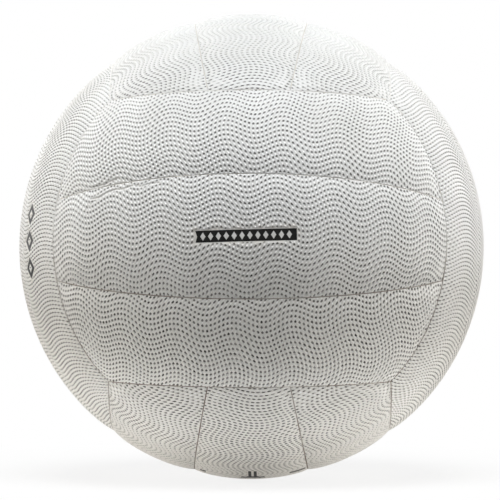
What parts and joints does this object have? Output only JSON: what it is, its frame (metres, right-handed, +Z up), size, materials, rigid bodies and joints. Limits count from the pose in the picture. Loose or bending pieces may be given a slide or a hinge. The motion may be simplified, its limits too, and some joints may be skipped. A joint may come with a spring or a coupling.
{
  "type": "volleyball",
  "caption": "Full-size volleyball with a stitched, embossed white cover of parallel strips over padded backing, a rubber bladder and an inflation valve.",
  "frame": {"origin": "centre of the ball", "axes": "+Z up as the ball lies in the picture, -Y out through the face turned to the viewer, +Y out through the valve"},
  "size_m": [0.21, 0.2098, 0.21],
  "materials": {
    "cover": "embossed white PVC, slightly matte",
    "backing": "foam and cotton cloth laminate",
    "thread": "waxed polyester thread",
    "bladder_rubber": "butyl rubber, dusted matte",
    "valve_rubber": "moulded black rubber",
    "core_rubber": "soft pale rubber",
    "ink": "black printing ink"
  },
  "bodies": {
    "root": {"front_bottom_panel": "cover", "front_middle_panel": "cover", "front_top_panel": "cover", "back_bottom_panel": "cover", "back_middle_panel": "cover", "back_top_panel": "cover", "left_front_panel": "cover", "left_middle_panel": "cover", "left_back_panel": "cover", "right_front_panel": "cover", "right_middle_panel": "cover", "right_back_panel": "cover", "top_right_panel": "cover", "top_middle_panel": "cover", "top_left_panel": "cover", "bottom_left_panel": "cover", "bottom_middle_panel": "cover", "bottom_right_panel": "cover", "front_bottom_backing": "backing", "front_middle_backing": "backing", "front_top_backing": "backing", "back_bottom_backing": "backing", "back_middle_backing": "backing", "back_top_backing": "backing", "left_front_backing": "backing", "left_middle_backing": "backing", "left_back_backing": "backing", "right_front_backing": "backing", "right_middle_backing": "backing", "right_back_backing": "backing", "top_right_backing": "backing", "top_middle_backing": "backing", "top_left_backing": "backing", "bottom_left_backing": "backing", "bottom_middle_backing": "backing", "bottom_right_backing": "backing", "front_seam_thread": "thread", "back_seam_thread": "thread", "left_seam_thread": "thread", "right_seam_thread": "thread", "top_seam_thread": "thread", "bottom_seam_thread": "thread", "bladder": "bladder_rubber", "bladder_patch": "bladder_rubber", "valve_housing": "valve_rubber", "valve_core": "core_rubber"}
  },
  "joints": []
}
